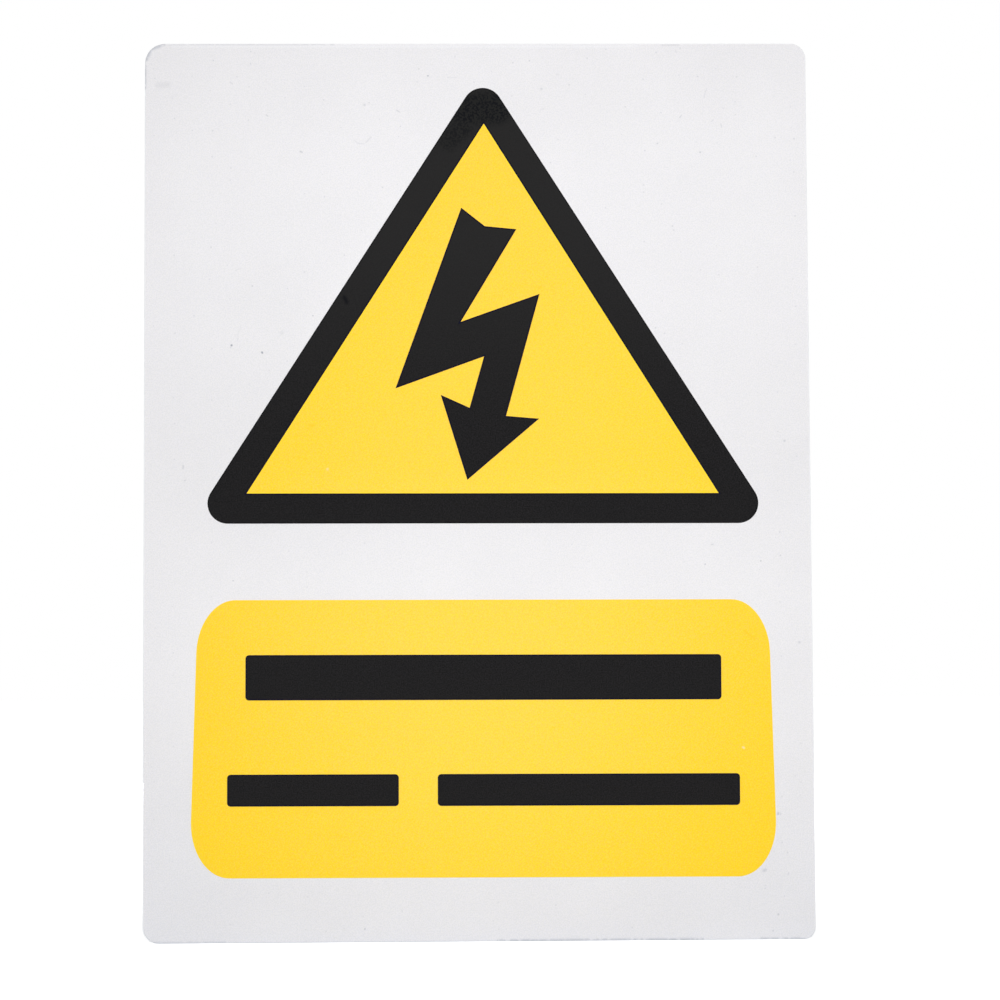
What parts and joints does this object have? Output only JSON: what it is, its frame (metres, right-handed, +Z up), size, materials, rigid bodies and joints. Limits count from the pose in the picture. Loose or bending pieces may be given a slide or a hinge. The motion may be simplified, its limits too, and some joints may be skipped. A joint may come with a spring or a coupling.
{
  "type": "high voltage warning sign",
  "caption": "Flat upright plastic sign with a black-bordered yellow triangle, a lightning bolt arrow and a yellow caption panel with plain black bars, made to be fixed to a wall.",
  "frame": {"origin": "centre of the back face, the face that lies against the wall, door or post", "axes": "+Z up, along the sheet's long way; +X to the right as a reader sees the sign; the printed face looks towards -Y, so +Y points into the wall"},
  "size_m": [0.1482, 0.0011, 0.2],
  "materials": {
    "white_plastic": "rigid plastic sheet with a fine matt grain",
    "yellow_ink": "matt yellow screen ink",
    "black_ink": "satin black screen ink"
  },
  "bodies": {
    "root": {"sign_plate": "white_plastic", "triangle_border": "black_ink", "triangle_field": "yellow_ink", "bolt_arrow": "black_ink", "caption_panel": "yellow_ink", "caption_bar_upper": "black_ink", "caption_bar_lower_left": "black_ink", "caption_bar_lower_right": "black_ink"}
  },
  "joints": []
}
